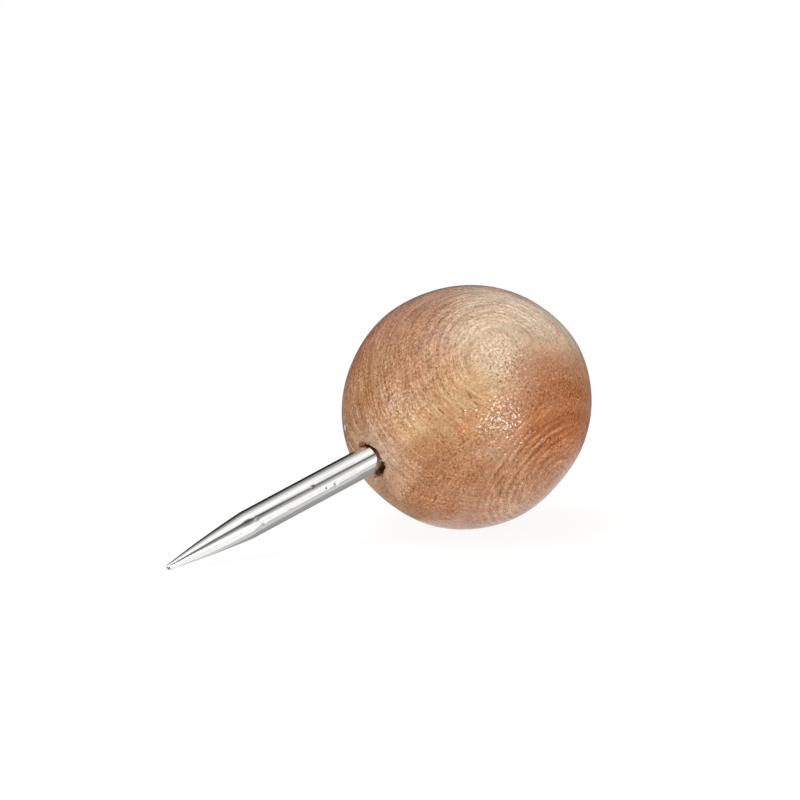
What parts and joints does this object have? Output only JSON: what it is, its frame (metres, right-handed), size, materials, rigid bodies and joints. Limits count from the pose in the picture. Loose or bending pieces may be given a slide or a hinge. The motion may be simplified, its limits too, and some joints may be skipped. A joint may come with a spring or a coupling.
{
  "type": "push pin",
  "caption": "Push pin with a satin-lacquered wooden ball head glued on a straight bright steel needle with a ground point, for pinning paper to a soft board.",
  "frame": {"origin": "on the needle's axis at the ball's underside, where the face of a board meets the pin", "axes": "+Z along the needle's axis, from the point up through the ball; X and Y are alike, because the pin is a body of revolution"},
  "size_m": [0.01, 0.01, 0.0205],
  "materials": {
    "lacquered_wood": "satin",
    "plated_steel": "gloss",
    "cured_glue": "satin"
  },
  "bodies": {
    "root": {"wooden_ball": "lacquered_wood", "steel_needle": "plated_steel", "glue_bond": "cured_glue"}
  },
  "joints": []
}
